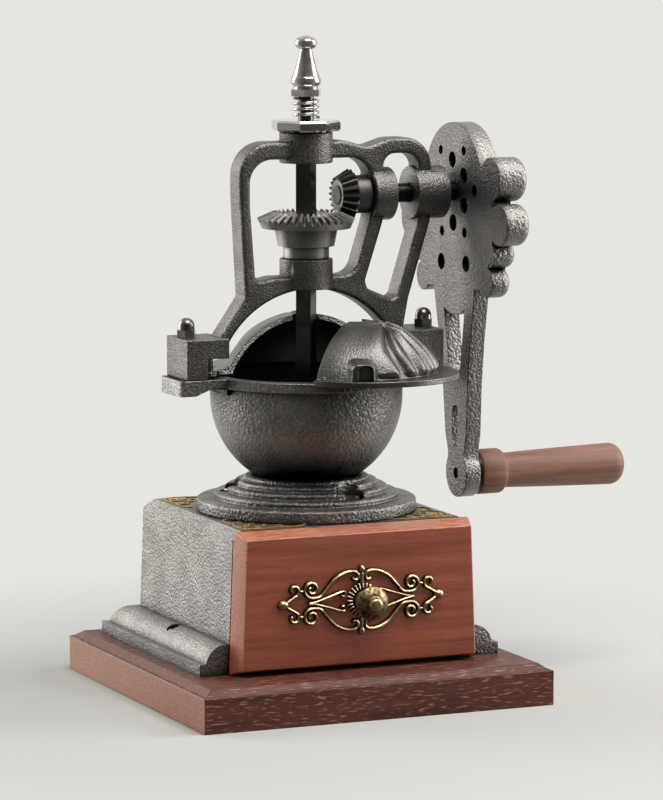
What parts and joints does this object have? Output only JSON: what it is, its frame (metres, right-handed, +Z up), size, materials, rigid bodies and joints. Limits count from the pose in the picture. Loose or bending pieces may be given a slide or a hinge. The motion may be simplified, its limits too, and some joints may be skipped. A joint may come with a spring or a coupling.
{
  "type": "hand crank coffee grinder",
  "caption": "Hand crank coffee grinder: cast iron bowl with swinging half lids, bevel gears in a yoke, scalloped crank with wooden grip, drawer box on a wooden plinth.",
  "frame": {"origin": "on the spindle axis, at the plinth's underside", "axes": "+Z up along the spindle, -Y to the front where the drawer opens, +X to the crank"},
  "size_m": [0.2725, 0.191, 0.335],
  "materials": {
    "plinth_wood": "satin lacquer",
    "drawer_wood": "gloss lacquer",
    "box_wood": "raw",
    "handle_wood": "gloss lacquer",
    "cast_iron": "sand cast, dull grey",
    "burr_iron": "ground",
    "black_steel": "blackened",
    "black_washer": "matte",
    "chrome": "polished",
    "antique_brass": "antique, dark in the recesses"
  },
  "bodies": {
    "stand": {"base_plate": "plinth_wood", "drawer_housing": "cast_iron", "housing_screws": "black_steel", "hopper_foot": "cast_iron", "hopper_bowl": "cast_iron", "hopper_bolts": "black_steel", "outer_burr": "burr_iron", "yoke_frame": "cast_iron", "yoke_studs": "black_steel", "acorn_nuts": "black_steel", "lid_pivot_pins": "black_steel"},
    "drawer": {"drawer_front": "drawer_wood", "drawer_left_side": "box_wood", "drawer_right_side": "box_wood", "drawer_back": "box_wood", "drawer_bottom": "box_wood", "pull_backplate": "antique_brass", "pull_rosette": "antique_brass", "pull_knob": "antique_brass", "knob_screw": "black_steel"},
    "spindle": {"spindle": "black_steel", "crown_gear": "cast_iron", "inner_burr": "burr_iron", "burr_nut": "black_steel", "lock_spring": "chrome", "spring_collar": "chrome", "finial": "chrome"},
    "adjusting_nut": {"adjusting_nut": "chrome"},
    "crank": {"crank_shaft": "black_steel", "drive_pinion": "cast_iron", "crank_arm": "cast_iron", "crank_nut": "black_steel", "handle_bolt": "black_steel", "handle_washer": "black_washer"},
    "handle": {"handle_grip": "handle_wood"},
    "front_lid": {"front_lid": "cast_iron"},
    "rear_lid": {"rear_lid": "cast_iron"}
  },
  "joints": [
    {"name": "drawer_slide", "type": "slide", "parent": "stand", "child": "drawer", "axis": [0, -1, 0], "range_m": [0, 0.085]},
    {"name": "crank_turn", "type": "hinge", "parent": "stand", "child": "crank", "pos_m": [0, 0, 0.2536], "axis": [1, 0, 0], "continuous": true},
    {"name": "spindle_turn", "type": "hinge", "parent": "stand", "child": "spindle", "pos_m": [0, 0, 0.2536], "axis": [0, 0, 1], "continuous": true},
    {"name": "nut_turn", "type": "hinge", "parent": "spindle", "child": "adjusting_nut", "pos_m": [0, 0, 0.2895], "axis": [0, 0, 1], "range_deg": [-180, 180]},
    {"name": "handle_spin", "type": "hinge", "parent": "crank", "child": "handle", "pos_m": [0.13, -0.00511, 0.10719], "axis": [1, 0, 0], "continuous": true},
    {"name": "front_lid_swing", "type": "hinge", "parent": "stand", "child": "front_lid", "pos_m": [0.0535, 0, 0.1659], "axis": [0, 0, 1], "range_deg": [-39, 16]},
    {"name": "rear_lid_swing", "type": "hinge", "parent": "stand", "child": "rear_lid", "pos_m": [-0.0535, 0, 0.1659], "axis": [0, 0, 1], "range_deg": [0, 55]}
  ],
  "couplings": [
    {"joint": "spindle_turn", "follows": "crank_turn", "ratio": 0.5}
  ]
}
